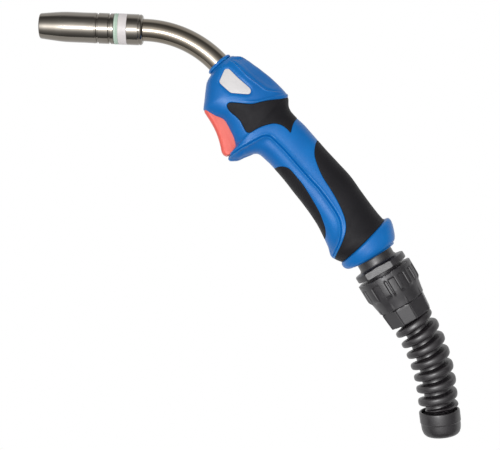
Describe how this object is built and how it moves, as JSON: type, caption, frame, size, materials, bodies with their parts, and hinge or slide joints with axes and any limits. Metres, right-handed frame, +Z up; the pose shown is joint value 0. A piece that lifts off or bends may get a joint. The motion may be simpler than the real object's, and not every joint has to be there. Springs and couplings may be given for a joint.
{
  "type": "mig welding torch",
  "caption": "Hand torch for wire-fed gas-shielded arc welding: curved pistol grip with trigger, bent neck with gas nozzle, swivelling cable end with a ribbed kink guard.",
  "frame": {"origin": "middle of the hand grip, on the handle's middle plane", "axes": "+Z up, the gas nozzle points along -X and slightly up, the cable end hangs down; the neck and the handle lie in the plane y = 0, the left side is -Y"},
  "size_m": [0.3076, 0.0434, 0.3108],
  "materials": {
    "nickel": "satin nickel plate",
    "spring_steel": "plain",
    "copper": "plain copper",
    "brass": "machined",
    "seal_rubber": "pale mint, matt",
    "white_plastic": "white, fine matt",
    "insulation": "ivory, matt",
    "stainless": "brushed lengthwise",
    "blue_plastic": "blue, fine grain",
    "grip_rubber": "soft black, matt",
    "plate_plastic": "white, smooth",
    "black_steel": "blackened",
    "zinc_steel": "zinc plated",
    "coral_plastic": "coral, satin",
    "switch_plastic": "black",
    "button_plastic": "red",
    "seat_plastic": "dark grey, waxy",
    "hard_black": "black, satin",
    "guard_rubber": "black, satin"
  },
  "bodies": {
    "handle": {"nozzle_spring": "spring_steel", "contact_tip": "copper", "tip_holder": "brass", "seal_ring": "seal_rubber", "insulator_ring": "white_plastic", "neck_collar": "nickel", "neck_tube": "stainless", "neck_insulation": "insulation", "neck_conductor": "copper", "neck_block": "brass", "clamp_screw": "black_steel", "nose_ring": "blue_plastic", "shell_left": "blue_plastic", "shell_right": "blue_plastic", "saddle_pad_left": "grip_rubber", "saddle_pad_right": "grip_rubber", "back_pad_left": "grip_rubber", "back_pad_right": "grip_rubber", "palm_pad_left": "grip_rubber", "palm_pad_right": "grip_rubber", "label_plate_left": "plate_plastic", "label_plate_right": "plate_plastic", "rear_collar": "blue_plastic", "shell_screws": "zinc_steel", "trigger_pin": "zinc_steel", "trigger_spring": "spring_steel", "switch_body": "switch_plastic", "switch_terminals": "brass"},
    "nozzle": {"gas_nozzle": "nickel"},
    "trigger": {"trigger": "coral_plastic"},
    "switch_button": {"switch_button": "button_plastic"},
    "ball_seat": {"ball_seat": "seat_plastic"},
    "knuckle": {"ball_stem": "hard_black", "kink_guard": "guard_rubber", "guard_end_collar": "guard_rubber"},
    "cable_nut": {"cable_nut": "hard_black"}
  },
  "joints": [
    {"name": "nozzle_pull", "type": "slide", "parent": "handle", "child": "nozzle", "axis": [-0.9992, 0, 0.0401], "range_m": [0, 0.06]},
    {"name": "trigger_press", "type": "hinge", "parent": "handle", "child": "trigger", "pos_m": [-0.0821, 0, 0.0566], "axis": [0, -1, 0], "range_deg": [0, 6], "stiffness_Nm_per_rad": 0.6, "springref_deg": -6.88, "deforming": ["trigger_spring"]},
    {"name": "button_press", "type": "slide", "parent": "handle", "child": "switch_button", "axis": [0.9205, 0, 0.3907], "range_m": [0, 0.0021]},
    {"name": "knuckle_spin", "type": "hinge", "parent": "handle", "child": "ball_seat", "pos_m": [0.0303, 0, -0.0412], "axis": [0.515, 0, -0.8572], "continuous": true},
    {"name": "knuckle_tilt", "type": "hinge", "parent": "ball_seat", "child": "knuckle", "pos_m": [0.0303, 0, -0.0412], "axis": [0, 1, 0], "range_deg": [-12, 12]},
    {"name": "nut_turn", "type": "hinge", "parent": "knuckle", "child": "cable_nut", "pos_m": [0.0509, 0, -0.07549], "axis": [0.515, 0, -0.8572], "continuous": true}
  ],
  "couplings": [
    {"joint": "button_press", "follows": "trigger_press", "m_per_rad": 0.02}
  ]
}
